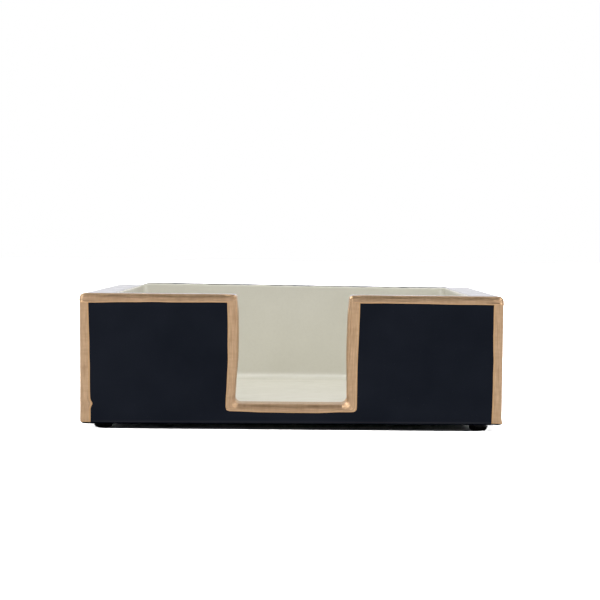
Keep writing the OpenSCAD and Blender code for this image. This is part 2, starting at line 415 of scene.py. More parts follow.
def fill_flat(builder, outline, y, flip):
    """Triangles over the flat face inside a closed outline of x, z points, on the plane y."""
    outline = [Vector((float(x), float(z))) for x, z in outline]
    inside = []
    low = np.min([tuple(p) for p in outline], axis=0)
    high = np.max([tuple(p) for p in outline], axis=0)
    for x in np.arange(low[0] + GRID_STEP / 2, high[0], GRID_STEP):
        for z in np.arange(low[1] + GRID_STEP / 2, high[1], GRID_STEP):
            place = Vector((float(x), float(z)))
            if min((place - p).length for p in outline) > 0.6 * GRID_STEP:
                inside.append(place)
    loop = list(range(len(outline)))
    points, _, faces, *_ = geometry.delaunay_2d_cdt(outline + inside, [], [loop], 1, TINY)
    start = builder.add_points(out_of_true(np.array([(p.x, y, p.y) for p in points])))
    for face in faces:
        face = tuple(start + i for i in face)
        builder.faces.append(face[::-1] if flip else face)


def build_front_wall(material):
    builder = Builder()
    add_wall_ends(builder, NOTCH_ZONE, "front")
    path = NotchPath(NOTCH_ZONE)
    stations = path.stations([4, 10, 18, 10, 18, 10, 18, 10, 4])
    grid = []
    for p, n in map(path.at, stations):
        rows = rim_rows(edge_radius(*p))
        grid.append([(p[0] - n[0] * h, d - HALF, p[1] - n[1] * h) for d, h in rows])
    grid = np.array(grid).transpose(1, 0, 2)
    builder.add_grid(out_of_true(grid))
    columns = straight_columns(-NOTCH_ZONE, NOTCH_ZONE)
    profile = wall_profile()
    low = BOTTOM + FOOT_EDGE_R
    under = [(THICK, BOTTOM), (THICK / 2, BOTTOM)]
    under += [(d, z) for d, z, _ in profile if z <= low + TINY and d < THICK / 2]
    under = np.array([[(x, d - HALF, z) for x in columns] for d, z in under])
    builder.add_grid(out_of_true(under))
    for y, row, at_depth, foot, top in (
        (-HALF, grid[0], 0, low, RIM - EDGE_R),
        (THICK - HALF, grid[-1], THICK, BOTTOM, RIM - LIP_INNER_R),
    ):
        up = sorted(z for d, z, _ in profile if d == at_depth and foot + TINY < z < top - TINY)
        outline = [(x, z) for x, _, z in row] + [(NOTCH_ZONE, z) for z in up[::-1]]
        outline += [(x, foot) for x in columns[::-1]] + [(-NOTCH_ZONE, z) for z in up]
        fill_flat(builder, outline, y, y > -HALF)
    finish_piece(builder.make("front_wall", material), "front_panel")


# ---------- Coves and floor ----------

COVE_SINK = 0.05 * MM  # how far a cove's back sits inside the boards
COVE_FADE = 0.93  # share of its radius that the front cove loses by the notch
COVE_FADE_RUN = 5 * MM


def add_shell(builder, front, back, strokes=None, brushed=None):
    """A closed thin solid between two grids of one shape."""
    rows, cols = front.shape[:2]
    a = builder.add_grid(front, strokes, brushed=brushed)
    b = builder.add_grid(back, strokes, flip=True, brushed=brushed)
    for r in range(rows - 1):
        builder.faces.append((a[r, 0], a[r + 1, 0], b[r + 1, 0], b[r, 0]))
        builder.faces.append((a[r + 1, -1], a[r, -1], b[r, -1], b[r + 1, -1]))
    for c in range(cols - 1):
        builder.faces.append((a[0, c + 1], a[0, c], b[0, c], b[0, c + 1]))
        builder.faces.append((a[-1, c], a[-1, c + 1], b[-1, c + 1], b[-1, c]))


def boxed(direction, radius):
    """Pushes unit directions out to a square box of that half width."""
    reach = np.max(np.abs(direction), axis=-1, keepdims=True)
    return direction * (radius + COVE_SINK) / reach


def build_corner_cove(corner, material):
    turn = np.radians(np.linspace(0, 90, 33))
    heights = list(np.linspace(RIM - LIP_INNER_R, FLOOR + COVE, 20)) + [FLOOR + COVE] * 14
    dips = [0.0] * 20 + list(np.radians(np.linspace(0, 90, 15)))[1:]
    front, back = [], []
    for z, dip in zip(heights, dips):
        flat = np.stack([np.cos(turn), np.sin(turn)], axis=-1) * np.cos(dip)
        way = np.column_stack([flat, np.full(len(turn), -math.sin(dip))])
        centre = np.array([STRAIGHT_HALF, STRAIGHT_HALF, z])
        front.append(centre + COVE * way)
        back.append(centre + boxed(way, COVE))
    place = np.array([*CORNERS[corner], 1])
    builder = Builder()
    add_shell(builder, out_of_true(np.array(front) * place), out_of_true(np.array(back) * place))
    piece = builder.make(f"corner_fill_{corner}", material)
    finish_piece(piece, f"corner_cove_{corner}")


def cove_run(builder, start, stop, side, taper=None):
    """One straight length of floor cove; taper gives the share of its radius at each x."""
    xs = np.linspace(start, stop, int((stop - start) / GRID_STEP))
    if taper:
        fine = (stop - start) * np.linspace(0, 1, 25) ** 2
        xs = np.unique(np.concatenate([xs, start + fine, stop - fine]))
    dips = np.radians(np.linspace(0, 90, 17))
    way = np.stack([np.zeros(17), -np.cos(dips), -np.sin(dips)], axis=-1)
    front, back = [], []
    for x in xs:
        r = COVE * (taper(x) if taper else 1.0)
        centre = np.array([x, r - WELL, FLOOR + r])
        front.append(centre + r * way)
        back.append(centre + boxed(way, r))
    add_shell(builder, placed(np.array(front), side), placed(np.array(back), side))


def build_floor_cove(side, material):
    builder = Builder()
    end = STRAIGHT_HALF
    if side == "front":
        left, right = NOTCH_SHIFT - NOTCH_HALF, NOTCH_SHIFT + NOTCH_HALF

        def fading_to(edge, way):
            return lambda x: 1 - COVE_FADE * smooth_step(edge + way * COVE_FADE_RUN, edge, x)

        cove_run(builder, -end, left, side, fading_to(left, -1))
        cove_run(builder, right, end, side, fading_to(right, 1))
    else:
        cove_run(builder, -end, end, side)
    piece = builder.make(f"floor_fill_{side}", material)
    finish_piece(piece, f"floor_cove_{side}")


def build_floor(top_material, under_material):
    """The base board: a thick slab whose top and underside follow the same slow wave."""
    builder = Builder()
    line = np.linspace(-WELL, WELL, 69)
    x, y = np.meshgrid(line, line)
    top = np.stack([x, y, np.full_like(x, FLOOR)], axis=-1)
    under = np.stack([x, y, np.full_like(x, BOTTOM)], axis=-1)
    add_shell(builder, out_of_true(top), out_of_true(under))
    piece = builder.make("base_board", top_material)
    piece.data.materials.append(under_material)
    for face in piece.data.polygons:
        face.material_index = int(face.center.z < (FLOOR + BOTTOM) / 2)
    finish_piece(piece, "base_panel")


# ---------- Gilding ----------

MITRE_START = HALF - 3 * MM
MITRE_RUN = 2.7 * MM  # length of a top stroke from there to the mitre


def over_rim(q, radius):
    """Depth, drop below the rim and the section's normal, q metres down over an outside
    edge of that radius."""
    turn = np.clip(q / radius, 0, math.pi / 2)
    depth = radius * (1 - np.sin(turn)) + np.maximum(-q, 0)
    drop = radius * (1 - np.cos(turn)) + np.maximum(q - radius * math.pi / 2, 0)
    return depth, drop, np.sin(turn), np.cos(turn)


def bell(x, middle, width):
    return np.exp(-(((x - middle) / width) ** 2))


def relief(along, across, inset, seed, flush=0.0):
    """Thickness of a brushed stroke: rounded edges, a slight bead along them, streaks and
    lumps. flush is 1 where it must be even to meet the stroke round the corner."""
    edge = smooth_step(0, 0.4 * MM, inset)
    streaks = noise_grid(along / (9 * MM), across / (0.35 * MM), seed)
    lumps = noise_grid(along / (5 * MM), across / (1.6 * MM), seed + 7.7)
    body = 1 + 0.14 * bell(inset, 0.45 * MM, 0.25 * MM) + 0.22 * streaks + 0.25 * lumps
    return PAINT_T * (0.05 + 0.95 * edge) * body * (1 - flush) + PAINT_T * flush


def add_paint(builder, points, normals, thickness, along, across, inset, side):
    """One stroke of gold as a closed shell on the board's surface, its columns across the
    brush's way. Its material reads the distances along and across the stroke and in from
    its edge, and the way it was brushed."""
    strokes = np.stack([along, across, inset], axis=-1)
    way = np.gradient(points, axis=1)
    way = turned(way / np.maximum(np.linalg.norm(way, axis=-1, keepdims=True), TINY), side)
    front = placed(points + normals * thickness[..., None], side)
    back = placed(points - normals * PAINT_SINK, side)
    add_shell(builder, front, back, strokes, way)


def wavy(x, seed, size, length):
    return noise_grid(x / length, np.full_like(x, 0.5), seed) * size


def band_depth(knots, x):
    """A band's width at x, between a few places listed in millimetres."""
    places, widths = np.transpose(knots) * MM
    return np.interp(x, places, widths)


# The notch's edges at its lips, by the end of the top stroke that meets them
LIP_EDGES = {
    1: NOTCH_SHIFT - NOTCH_HALF + LEFT_STRAY[0],
    -1: NOTCH_SHIFT + NOTCH_HALF + RIGHT_STRAY[0],
}

LIP_STEPS = 9

# Width of the gold under the rim, left to right, as millimetres in x and of width
FRONT_TOP = [(-78, 3.5), (-60, 3.2), (-25, 3.05), (30, 2.9), (52, 2.85), (60, 3.05), (78, 3.2)]
PLAIN_TOP = [(-78, 3.3), (-30, 3.0), (20, 3.2), (78, 3.1)]
RIGHT_BEAD = (77.3 * MM, 2.3 * MM)  # paint gathered at the right corner: x, then down the band
# Where the gold's upper edge is, from the start of the rounding at the rim
FRONT_TOP_EDGE = 0.2 * MM
PLAIN_TOP_EDGE = 0.75 * MM


# Width of the gold up the corners, by height above the wall's bottom
LEFT_CORNER = [(0, 3.95), (8, 4.0), (16, 3.8), (30, 3.6), (44, 3.3)]
RIGHT_CORNER = [(0, 3.85), (10, 3.6), (24, 3.5), (34, 3.75), (44, 3.6)]
PLAIN_CORNER = [(0, 3.6), (20, 3.3), (44, 3.5)]
UPRIGHT_GAP = 0.7 * MM  # bare strip below the upright strokes
UPRIGHT_TOP = 2.6 * MM  # how far below the rim they end, under the top strokes
LEFT_SPOT = 6.8 * MM  # height of the runny spot at the left corner


def top_stroke(builder, side, x_from, x_to, knots, seed, lip=0, start=0.0):
    """Gold over the rim between two places. lip is -1 or 1 where it runs on over the notch's
    lip at its left or right end, and an end at or past MITRE_START runs on to the mitre.
    start is where its upper edge is: past the rounding if negative, on it if positive."""
    middle = np.arange(max(x_from, -MITRE_START), min(x_to, MITRE_START), PAINT_STEP)
    rows = np.linspace(0, 1, PAINT_ROWS)[:, None]
    corner = np.linspace(0, 1, 15)[1:]
    # Each column: -1 or 1 with a share of the way round that corner, or 0 with a plain x
    columns = []
    if x_from < -MITRE_START:
        columns += [(-1, s) for s in corner[::-1]]
    columns += [(0, x) for x in middle]
    if x_to > MITRE_START:
        columns += [(0, MITRE_START)] + [(1, s) for s in corner]
    along = np.array([way * (MITRE_START + v * MITRE_RUN) if way else v for way, v in columns])
    flush = np.array([smooth_step(0.55, 1.0, v) if way else 0.0 for way, v in columns])
    width = band_depth(knots, along) + wavy(along, seed, 0.16 * MM, 9 * MM)
    top = start + wavy(along, seed + 3.1, 0.16 * MM, 6 * MM)
    radius = edge_radius(along, RIM) if side == "front" else np.full_like(along, EDGE_R)
    low = radius * math.pi / 2 + width - radius
    q = top + (low - top) * rows
    depth, drop, n_out, n_up = over_rim(q, radius)
    x, y = np.broadcast_to([v for _, v in columns], q.shape).copy(), depth - HALF
    nx, ny = np.zeros_like(q), np.full_like(q, -1.0)
    for c, (way, value) in enumerate(columns):
        if way:
            px, py, ax, ay = plan_walk(MITRE_START, value, depth[:, c], plan_radius(depth[:, c]))
            x[:, c], y[:, c], nx[:, c], ny[:, c] = way * px, py, way * ax, ay
    points = np.stack([x, y, RIM - drop], axis=-1)
    normals = np.stack([nx * n_out, ny * n_out, n_up], axis=-1)
    across = q - top
    along_grid = np.broadcast_to(along, q.shape)
    if lip:
        points, normals, across, along_grid = add_lip(points, normals, q, top, along, lip)
        flush = np.concatenate([flush, np.zeros(LIP_STEPS)][::lip])
    to_low = across[-1:, :] - across
    inset = np.minimum(across, to_low)
    thick = TOP_COAT * relief(along_grid, across, inset, seed, flush)
    crossing = smooth_step(HALF - 7 * MM, HALF - 4 * MM, np.abs(along_grid))
    thick = thick + CROSSING_RIDGE * crossing * bell(to_low, 0.45 * MM, 0.28 * MM)
    if side == "front":
        bead = bell(along_grid, RIGHT_BEAD[0], 1.0 * MM) * bell(across, RIGHT_BEAD[1], 0.35 * MM)
        thick = thick + CORNER_BEAD * bead
    add_paint(builder, points, normals, thick, along_grid, across, inset, side)


def add_lip(points, normals, q, top, along, lip):
    """Carries a top stroke's end over the rounded lip of the notch. Returns its points,
    normals and distances across and along with the new columns joined on."""
    end = -1 if lip > 0 else 0
    q_end = q[:, end]
    depth, drop, n_out, n_up = over_rim(q_end, NOTCH_EDGE_R)
    held = np.minimum(drop, LIP_R - 0.05 * MM)
    new = []
    for a in quarter(LIP_STEPS):
        nx, nz = lip * math.sin(a), math.cos(a)
        px = LIP_EDGES[lip] - lip * LIP_R + nx * (LIP_R - held)
        pz = RIM - LIP_R + nz * (LIP_R - held) - (drop - held)
        place = np.stack([px, depth - HALF, pz], axis=-1)
        facing = np.stack([nx * n_up, -n_out, nz * n_up], axis=-1)
        run = np.full(len(q_end), along[end] + lip * LIP_R * a)
        new.append((place, facing, q_end - top[end], run))
    old = (points, normals, q - top, np.broadcast_to(along, q.shape))
    lips = [np.stack(column, axis=1) for column in zip(*new[::lip])]
    return [np.concatenate([a, b][::lip], axis=1) for a, b in zip(old, lips)]


def upright_stroke(builder, side, way, knots, seed, mark=None):
    """Gold up one corner of a side, from the mitre in to its painted edge. knots give its
    width at heights above the wall's bottom, and mark is a runny spot's height."""
    z = np.arange(BOTTOM + UPRIGHT_GAP, RIM - UPRIGHT_TOP, PAINT_STEP)
    width = band_depth(knots, z - BOTTOM) + wavy(z, seed, 0.18 * MM, 7 * MM)
    if mark:
        width = width + 0.75 * MM * bell(z, BOTTOM + mark, 1.1 * MM)
    shares = np.linspace(0, 1, PAINT_ROWS)[:, None] ** 0.8
    x, y, nx, ny = plan_walk(HALF - width, shares + 0 * z, 0.0, CORNER_R)
    along = np.broadcast_to(z, x.shape)
    points = np.stack([way * x, y, along], axis=-1)
    normals = np.stack([way * nx, ny, np.zeros_like(x)], axis=-1)
    across = shares * (width + 0 * x)
    inset = np.minimum(across, along - z[0] + 0.1 * MM)
    hold = smooth_step(0.8, 1.0, shares)
    thick = relief(along, across, inset, seed, hold)
    if mark:
        spot = BOTTOM + mark
        pit = bell(x, HALF - 1.8 * MM, 0.8 * MM) * bell(along, spot - 0.5 * MM, 0.28 * MM)
        thick = thick + 0.12 * MM * bell(along, spot, 1.3 * MM) * (1 - hold) - 0.16 * MM * pit
    add_paint(builder, points, normals, thick, along, across, inset, side)


def notch_stroke(builder, seed):
    """Gold round the notch: a band on the front, over the rounded edge and through to the
    back, from half way round one lip to half way round the other."""
    path = NotchPath(NOTCH_ZONE)
    begin, finish = (path.starts[1:3].mean(), path.starts[7:9].mean())
    stations = np.arange(begin, finish, 0.4 * MM)
    ends = [path.at(s) for s in stations]
    xs, heights = np.transpose([p for p, _ in ends])
    sideways = np.array([abs(n[0]) for _, n in ends])
    # Distance below the rim decides how far the band has opened to its full width
    opened = smooth_step(LIP_R, 2.6 * MM, RIM - heights)
    middle = (xs - NOTCH_SHIFT) / NOTCH_HALF
    lower = smooth_step(12 * MM, 38 * MM, RIM - heights)
    beside = np.where(middle < 0, 3.45 - 0.25 * lower, 3.95 - 0.3 * lower) * MM
    below = 2.75 * MM + 0.45 * MM * (1 - middle**2)
    # Distance out to a nearly square corner, from the centre of the notch's rounded one
    to_side = (NOTCH_R + beside) / np.maximum(sideways, 0.05)
    to_sill = (NOTCH_R + below) / np.maximum(np.sqrt(1 - sideways**2), 0.05)
    corner = (to_side**-10.0 + to_sill**-10.0) ** (-1 / 10.0) - NOTCH_R
    wide = np.where(heights > SILL + NOTCH_R + 0.01 * MM, beside, corner)
    wide = wide + wavy(stations, seed, 0.2 * MM, 8 * MM)
    radii = edge_radius(xs, heights)
    flat = 0.15 * MM + (wide - radii - 0.15 * MM) * opened
    bow = smooth_step(SILL + 8 * MM, SILL + 20 * MM, heights) * sideways
    bow = bow * (1 - smooth_step(RIM - 8 * MM, RIM - 1 * MM, heights))
    through = THICK - radii - LIP_INNER_R
    back_turn = 0.6 + wavy(stations, seed + 2.2, 0.35, 5 * MM)
    n_x, n_z = np.transpose([n for _, n in ends])
    rows = []

    def add_row(depth, inset, out, forward, run):
        """depth and inset place the row; out and forward are its normal, away from the path's
        outline and to the front."""
        place = (xs - n_x * inset, depth - HALF, heights - n_z * inset)
        rows.append((*place, n_x * out, -forward + 0 * n_x, n_z * out, run))

    for t in np.linspace(0, 1, 15):
        add_row(0.0, radii + (1 - t) * flat, 0.0, 1.0, -(1 - t) * flat)
    for a in np.linspace(0, 1, 13)[1:] * math.pi / 2:
        turn = (radii * (1 - math.cos(a)), radii * (1 - math.sin(a)))
        add_row(*turn, math.sin(a), math.cos(a), radii * a)
    for t in np.linspace(0, 1, 15)[1:]:
        add_row(radii + t * through, 0.0, 1.0, 0.0, radii * math.pi / 2 + t * through)
    for t in np.linspace(0, 1, 7)[1:]:
        a = math.pi / 2 * t * back_turn
        depth, inset = THICK - LIP_INNER_R * (1 - np.sin(a)), LIP_INNER_R * (1 - np.cos(a))
        run = radii * math.pi / 2 + through + LIP_INNER_R * a
        add_row(depth, inset, np.cos(a), -np.sin(a), run)
    table = np.array([np.broadcast_arrays(*row) for row in rows])
    points, normals = np.moveaxis(table[:, :3], 1, -1), np.moveaxis(table[:, 3:6], 1, -1)
    across = table[:, 6] - table[:1, 6]
    along = np.broadcast_to(stations, across.shape)
    inset = np.minimum(across, across[-1:] - across)
    thick = relief(along, across, inset, seed)
    for stretch, shift in ((3, 0.3 * MM), (5, -0.3 * MM)):
        centre = path.starts[stretch : stretch + 2].mean() + shift
        bead = bell(along, centre, 0.28 * MM) * bell(across, flat - 0.15 * MM, 0.3 * MM)
        thick = thick + CORNER_BEAD * bead
    ends_fade = smooth_step(0, 0.6 * MM, np.minimum(stations - begin, stations[-1] - stations))
    thick = (thick + SIDE_BOW * bow * (across > flat)) * (0.1 + 0.9 * ends_fade)
    add_paint(builder, points, normals, thick, along, across, inset, "front")


def build_gold(side, material, seed):
    """The gold of one side, stroke by stroke; each stroke has its own seed for the noise."""
    builder = Builder()
    if side == "front":
        left, right = LIP_EDGES[1] - LIP_R, LIP_EDGES[-1] + LIP_R
        notch_stroke(builder, seed + 0.4)
        upright_stroke(builder, side, -1, LEFT_CORNER, seed + 1.3, LEFT_SPOT)
        upright_stroke(builder, side, 1, RIGHT_CORNER, seed + 2.6)
        top_stroke(builder, side, -HALF, left, FRONT_TOP, seed + 3.9, 1, FRONT_TOP_EDGE)
        top_stroke(builder, side, right, HALF, FRONT_TOP, seed + 5.2, -1, FRONT_TOP_EDGE)
    else:
        upright_stroke(builder, side, -1, PLAIN_CORNER, seed + 1.3)
        upright_stroke(builder, side, 1, PLAIN_CORNER, seed + 2.6)
        top_stroke(builder, side, -HALF, HALF, PLAIN_TOP, seed + 3.9, 0, PLAIN_TOP_EDGE)
    piece = builder.make(f"gilding_{side}", material, sharp=60)
    finish_piece(piece, f"gold_band_{side}")
    return piece


# ---------- Feet ----------


def foot_profile(radius, low, high):
    """A moulded bumper: a slightly dished flat, a rounded side and a thin flange on top."""
    flat, dish, bend, flange, soft = 0.62 * radius, 0.12 * MM, 0.35 * MM, 0.35 * MM, 0.05 * MM
    side, top = radius - bend - flat, high - low - flange
    rows = [(0, dish), (flat * 0.5, dish * 0.8), (flat * 0.8, dish * 0.15)]
    rows += [(flat * 0.9, 0), (flat, 0)]
    rows += [(flat + side * math.sin(a), top * (1 - math.cos(a))) for a in quarter(14)]
    rows += [(radius - soft, top), (radius, top + flange * 0.4)]
    rows += [(radius, top + flange - soft), (radius - soft, top + flange), (0, top + flange)]
    return rows


def disc_profile(radius, low, high):
    """A glue disc with its edges pressed a little round."""
    soft = 0.08 * MM
    rows = [(0, low), (radius - soft, low), (radius, low + soft)]
    return rows + [(radius, high - soft), (radius - soft, high), (0, high)]


def build_turned(name, profile, material, node):
    """A round piece in the place of a CAD node, turned from a profile of radius and height
    that starts and ends on its axis."""
    low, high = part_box(node)
    centre = (low + high) / 2
    turn = np.linspace(0, 2 * math.pi, 65)
    grid = [
        [(centre.x + r * math.cos(a), centre.y + r * math.sin(a), z) for a in turn]
        for r, z in profile((high.x - low.x) / 2, low.z, high.z)
    ]
    builder = Builder()
    builder.add_grid(np.array(grid))
    finish_piece(builder.make(name, material), node)


# ---------- Materials ----------


class Nodes:
    """A node tree with short calls for the few kinds of node used here. It belongs to a new
    material of that name, or to a world."""

    def __init__(self, name, world=None):
        self.material = world or bpy.data.materials.new(name)
        self.material.use_nodes = True
        self.tree = self.material.node_tree
        self.shader = self.tree.nodes.get("Principled BSDF")

    def node(self, kind, settings=None, **inputs):
        """A new node. Inputs go by name, or as i0, i1 and i2 by number."""
        node = self.tree.nodes.new(kind)
        for key, value in (settings or {}).items():
            setattr(node, key, value)
        for key, value in inputs.items():
            self.feed(node.inputs[int(key[1]) if key in ("i0", "i1", "i2") else key], value)
        return node

    def feed(self, socket, value):
        if hasattr(value, "is_output"):
            self.tree.links.new(value, socket)
        else:
            socket.default_value = value

    def set(self, **inputs):
        for key, value in inputs.items():
            self.feed(self.shader.inputs[key.replace("_", " ")], value)

    def math(self, operation, a, b=0.0, c=0.0):
        return self.node("ShaderNodeMath", {"operation": operation}, i0=a, i1=b, i2=c).outputs[0]

    def place(self):
        return self.node("ShaderNodeTexCoord").outputs["Object"]

    def scaled(self, vector, x, y, z):
        node = self.node("ShaderNodeVectorMath", {"operation": "MULTIPLY"}, i0=vector)
        node.inputs[1].default_value = (x, y, z)
        return node.outputs[0]

    def noise(self, vector, scale, detail=2.0, rough=0.5):
        node = self.node("ShaderNodeTexNoise", Vector=vector, Scale=scale, Detail=detail)
        node.inputs["Roughness"].default_value = rough
        return node.outputs["Fac"]

    def spread(self, value, low, high, out_low=0.0, out_high=1.0, kind="LINEAR"):
        """Maps low..high to out_low..out_high, held at the ends."""
        settings = {"clamp": True, "interpolation_type": kind}
        node = self.node("ShaderNodeMapRange", settings, Value=value)
        for socket, number in zip(list(node.inputs)[1:5], (low, high, out_low, out_high)):
            socket.default_value = number
        return node.outputs[0]

    def even(self, value, *out):
        """Spreads the middle of a noise's range, where nearly all of it lies."""
        return self.spread(value, 0.3, 0.7, *out)

    def blend(self, factor, a, b):
        node = self.node("ShaderNodeMix", {"data_type": "RGBA"}, Factor=factor)
        for socket, value in ((node.inputs[6], a), (node.inputs[7], b)):
            self.feed(socket, value if hasattr(value, "is_output") else (*value, 1.0))
        return node.outputs[2]

    def bump(self, height, distance, strength=1.0, normal=None):
        node = self.node("ShaderNodeBump", Height=height, Distance=distance, Strength=strength)
        if normal is not None:
            self.tree.links.new(normal, node.inputs["Normal"])
        return node.outputs["Normal"]


def dark_coat(n, place):
    """Colour and roughness of the blue-black lacquer, with faint clouding and dust."""
    cloud = n.noise(place, 45.0, 3.0)
    specks = n.spread(n.noise(place, 2600.0, 1.0), 0.70, 0.78)
    colour = n.blend(n.even(cloud), (0.0040, 0.0062, 0.0115), (0.0075, 0.0100, 0.0165))
    colour = n.blend(n.math("MULTIPLY", specks, 0.35), colour, (0.05, 0.052, 0.055))
    rough = n.even(n.noise(place, 120.0, 4.0), 0.13, 0.19)
    return colour, rough


def cream_coat(n, place):
    """Colour and roughness of the cream lacquer, a little uneven where it was rubbed down."""
    cloud = n.noise(place, 38.0, 4.0)
    fine = n.noise(place, 900.0, 3.0)
    colour = n.blend(n.even(cloud), (0.585, 0.572, 0.495), (0.630, 0.617, 0.540))
    colour = n.blend(n.spread(fine, 0.42, 0.72, 0.0, 0.16), colour, (0.52, 0.50, 0.42))
    rough = n.even(n.noise(place, 160.0, 4.0), 0.30, 0.42)
    return colour, rough


def coat_bump(n, place):
    """Orange peel and a trace of the grain beneath."""
    peel = n.bump(n.noise(place, 1100.0, 2.0), 0.000004)
    grain = n.noise(n.scaled(place, 60.0, 900.0, 900.0), 1.0, 3.0)
    return n.bump(grain, 0.000004, 1.0, peel)


def wall_lacquer():
    """Blue-black outside and over the rim, cream on the inside. The line between them runs
    round the inner lip, a little unevenly as masked by hand."""
    n = Nodes("wall_lacquer")
    place = n.place()
    parts = n.node("ShaderNodeSeparateXYZ", Vector=place)
    far = [n.math("SUBTRACT", n.math("ABSOLUTE", p), STRAIGHT_HALF) for p in parts.outputs[:2]]
    squares = [n.math("POWER", n.math("MAXIMUM", f, 0.0), 2.0) for f in far]
    round_part = n.math("SQRT", n.math("ADD", *squares))
    flat_part = n.math("MINIMUM", n.math("MAXIMUM", *far), 0.0)
    outside = n.math("SUBTRACT", n.math("ADD", round_part, flat_part), COVE)
    wobble = n.even(n.noise(place, 160.0, 3.0), -0.00012, 0.00012)
    line = n.math("ADD", outside, wobble)
    cream_part = n.spread(line, 0.00040, 0.00026)
    dark, dark_rough = dark_coat(n, place)
    cream, cream_rough = cream_coat(n, place)
    rougher = n.math("MULTIPLY", n.math("SUBTRACT", cream_rough, dark_rough), cream_part)
    n.set(Base_Color=n.blend(cream_part, dark, cream))
    n.set(Roughness=n.math("ADD", rougher, dark_rough))
    n.set(Specular_IOR_Level=0.13, Normal=coat_bump(n, place))
    return n.material


def plain_lacquer(name, coat, gloss):
    n = Nodes(name)
    place = n.place()
    colour, rough = coat(n, place)
    n.set(Base_Color=colour, Roughness=rough, Specular_IOR_Level=gloss, Normal=coat_bump(n, place))
    return n.material


def gold_paint():
    """Metallic paint put on with a small brush: streaks along the stroke, thicker and
    redder at its edges, thin and brownish where the lacquer shows through."""
    n = Nodes("gold_paint")
    stroke = n.node("ShaderNodeAttribute", {"attribute_name": "stroke"}).outputs["Vector"]
    inset = n.node("ShaderNodeSeparateXYZ", Vector=stroke).outputs[2]
    streaks = n.noise(n.scaled(stroke, 110.0, 2600.0, 0.0), 1.0, 4.0, 0.6)
    dabs = n.noise(n.scaled(stroke, 800.0, 160.0, 0.0), 1.0, 3.0, 0.6)
    wide = n.noise(n.scaled(stroke, 60.0, 700.0, 0.0), 1.0, 2.0)
    patches = n.noise(n.place(), 220.0, 3.0)
    grit = n.noise(n.place(), 5200.0, 2.0)
    colour = n.blend(n.even(streaks), (0.44, 0.275, 0.152), (0.76, 0.52, 0.318))
    colour = n.blend(n.spread(dabs, 0.42, 0.66, 0.0, 0.35), colour, (0.46, 0.285, 0.15))
    colour = n.blend(n.spread(wide, 0.35, 0.65, 0.0, 0.3), colour, (0.62, 0.41, 0.225))
    thin = n.spread(patches, 0.60, 0.80, 0.0, 0.3)
    colour = n.blend(thin, colour, (0.30, 0.19, 0.11))
    edge = n.spread(inset, 0.00020, 0.00050, 0.6, 0.0)
    colour = n.blend(edge, colour, (0.66, 0.39, 0.17))
    n.set(Base_Color=colour, Metallic=0.88)
    rough = n.math("MULTIPLY_ADD", grit, 0.16, n.even(streaks, 0.26, 0.36))
    n.set(Roughness=rough, Specular_IOR_Level=0.4, Anisotropic=0.88)
    n.set(Anisotropic_Rotation=0.25, Coat_Weight=0.35, Coat_Roughness=0.10)
    n.set(Tangent=n.node("ShaderNodeAttribute", {"attribute_name": "brushed"}).outputs["Vector"])
    ridges = n.bump(streaks, 0.00016, 1.0, n.bump(dabs, 0.00008))
    flakes = n.bump(grit, 0.000010, 1.0, ridges)
    n.set(Normal=n.bump(patches, 0.00008, 1.0, flakes))
    return n.material


def bumper_rubber():
    n = Nodes("bumper_rubber")
    place = n.place()
    colour = n.blend(n.noise(place, 300.0, 3.0), (0.005, 0.005, 0.006), (0.012, 0.012, 0.013))
    n.set(Base_Color=colour, Roughness=n.even(n.noise(place, 900.0, 3.0), 0.22, 0.38))
    n.set(Specular_IOR_Level=0.25, Normal=n.bump(n.noise(place, 1500.0, 2.0), 0.00001))
    return n.material


def glue_film():
    n = Nodes("glue_film")
    place = n.place()
    bubbles = n.node("ShaderNodeTexVoronoi", Vector=place, Scale=2500.0).outputs["Distance"]
    colour = n.blend(n.spread(bubbles, 0.1, 0.6), (0.62, 0.60, 0.55), (0.76, 0.75, 0.71))
    n.set(Base_Color=colour, Roughness=n.spread(bubbles, 0.0, 0.7, 0.45, 0.65))
    n.set(Normal=n.bump(bubbles, 0.00002))
    return n.material


def brad_steel():
    """Drawn wire: fine lines along the pin and a faint grey bloom."""
    n = Nodes("brad_steel")
    place = n.place()
    lines = n.noise(n.scaled(place, 9000.0, 9000.0, 300.0), 1.0, 3.0)
    bloom = n.noise(place, 400.0, 3.0)
    colour = n.blend(n.even(lines), (0.36, 0.355, 0.35), (0.55, 0.545, 0.535))
    n.set(Base_Color=n.blend(n.spread(bloom, 0.5, 0.8, 0.0, 0.5), colour, (0.24, 0.23, 0.215)))
    n.set(Metallic=1.0, Roughness=n.even(bloom, 0.28, 0.46))
    n.set(Normal=n.bump(lines, 0.00001))
    return n.material


# ---------- Build ----------

walls = wall_lacquer()
cream = plain_lacquer("cream_lacquer", cream_coat, 0.45)
dark = plain_lacquer("dark_lacquer", dark_coat, 0.13)
gold = gold_paint()
rubber = bumper_rubber()
glue = glue_film()
steel = brad_steel()

build_front_wall(walls)
for side in ("right", "rear", "left"):
    build_plain_wall(side, walls)
build_floor(cream, dark)
for corner in CORNERS:
    build_corner_cove(corner, cream)
    foot, disc = f"foot_{corner}", f"foot_adhesive_{corner}"
    build_turned(f"bumper_{corner}", foot_profile, rubber, foot)
    build_turned(f"glue_disc_{corner}", disc_profile, glue, disc)
gilding = []
for number, side in enumerate(SIDES):
    build_floor_cove(side, cream)
    gilding.append(build_gold(side, gold, 11.3 + 9.1 * number))
for name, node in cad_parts.items():
    if "brads" in name:
        node.data.materials.clear()
        node.data.materials.append(steel)


# ---------- Stage, light and camera ----------


